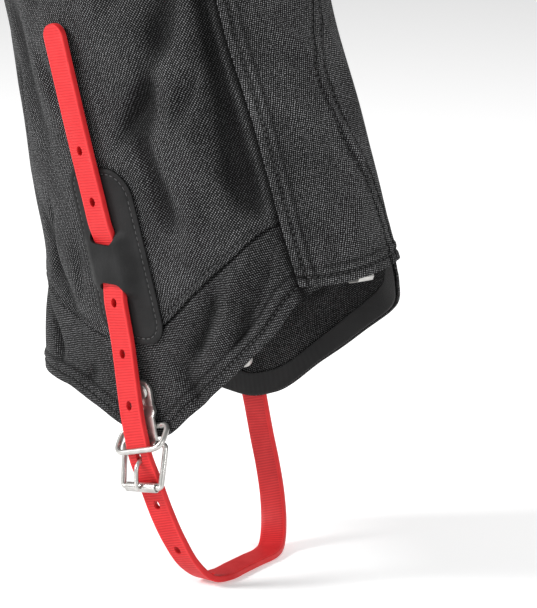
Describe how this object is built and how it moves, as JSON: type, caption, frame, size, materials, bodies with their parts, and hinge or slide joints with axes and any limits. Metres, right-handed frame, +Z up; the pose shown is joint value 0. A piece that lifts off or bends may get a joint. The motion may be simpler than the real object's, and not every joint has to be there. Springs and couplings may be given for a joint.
{
  "type": "hiking gaiter",
  "caption": "Right-leg hiking gaiter with a front storm flap, a holed red instep strap, a roller buckle, a lace hook and a cam-buckle top.",
  "frame": {"origin": "middle of the instep strap's flat upper face, where the boot's arch rests on it", "axes": "+X towards the toes, +Y towards the other leg, so the outer side with the buckle is -Y, +Z up the leg"},
  "size_m": [0.2325, 0.1417, 0.4832],
  "materials": {
    "packcloth": "matte woven nylon",
    "flap_cloth": "matte woven nylon",
    "coated_patch": "matte coated cloth with a fine grain",
    "black_tape": "matte webbing, hook and loop tape",
    "red_strap": "satin moulded polyurethane with fine cross ribs",
    "nickel_steel": "nickel-plated steel",
    "black_plastic": "moulded acetal"
  },
  "bodies": {
    "gaiter": {"outer_shaft_panel": "packcloth", "inner_shaft_panel": "packcloth", "outer_ankle_panel": "packcloth", "inner_ankle_panel": "packcloth", "flap_seam_tape": "flap_cloth", "outer_hem_facing": "black_tape", "inner_hem_facing": "black_tape", "rear_seam_tape": "black_tape", "hook_tape": "black_tape", "top_channel_facing": "black_tape", "cinch_webbing": "black_tape", "cam_buckle_tab": "black_tape", "instep_strap": "red_strap", "strap_patch": "coated_patch", "anchor_patch": "coated_patch", "chape": "nickel_steel", "chape_rivet": "nickel_steel", "chape_burr": "nickel_steel", "anchor_rivet": "nickel_steel", "anchor_burr": "nickel_steel", "lace_hook": "nickel_steel", "lace_hook_rivet": "nickel_steel", "lace_hook_burr": "nickel_steel", "cam_pin": "nickel_steel", "cam_buckle_body": "black_plastic"},
    "flap": {"storm_flap": "flap_cloth", "loop_tape": "black_tape"},
    "buckle_frame_body": {"buckle_frame": "nickel_steel"},
    "roller": {"buckle_roller": "nickel_steel"},
    "prong": {"buckle_prong": "nickel_steel"},
    "keeper": {"keeper_ring": "nickel_steel"},
    "lever": {"cam_lever": "black_plastic"}
  },
  "joints": [
    {"name": "flap_open", "type": "hinge", "parent": "gaiter", "child": "flap", "pos_m": [0.07043, 0.01668, 0.15648], "axis": [-0.2453, -0.0012, 0.9694], "range_deg": [0, 110]},
    {"name": "buckle_swing", "type": "hinge", "parent": "gaiter", "child": "buckle_frame_body", "pos_m": [-0.02277, -0.04795, 0.06535], "axis": [-0.99, 0.0748, -0.1193], "range_deg": [0, 2.5]},
    {"name": "prong_pivot", "type": "hinge", "parent": "buckle_frame_body", "child": "prong", "pos_m": [-0.02277, -0.04795, 0.06535], "axis": [-0.99, 0.0748, -0.1193], "range_deg": [-1, 1.5]},
    {"name": "roller_spin", "type": "hinge", "parent": "buckle_frame_body", "child": "roller", "pos_m": [-0.02091, -0.05387, 0.04625], "axis": [0.99, -0.0748, 0.1193], "continuous": true},
    {"name": "keeper_slide", "type": "slide", "parent": "gaiter", "child": "keeper", "axis": [-0.1218, -0.0297, 0.9921], "range_m": [0, 0.0035]},
    {"name": "cam_lever_lift", "type": "hinge", "parent": "gaiter", "child": "lever", "pos_m": [-0.08145, -0.07267, 0.46652], "axis": [-0.0018, -0.0585, -0.9983], "range_deg": [0, 95]}
  ]
}
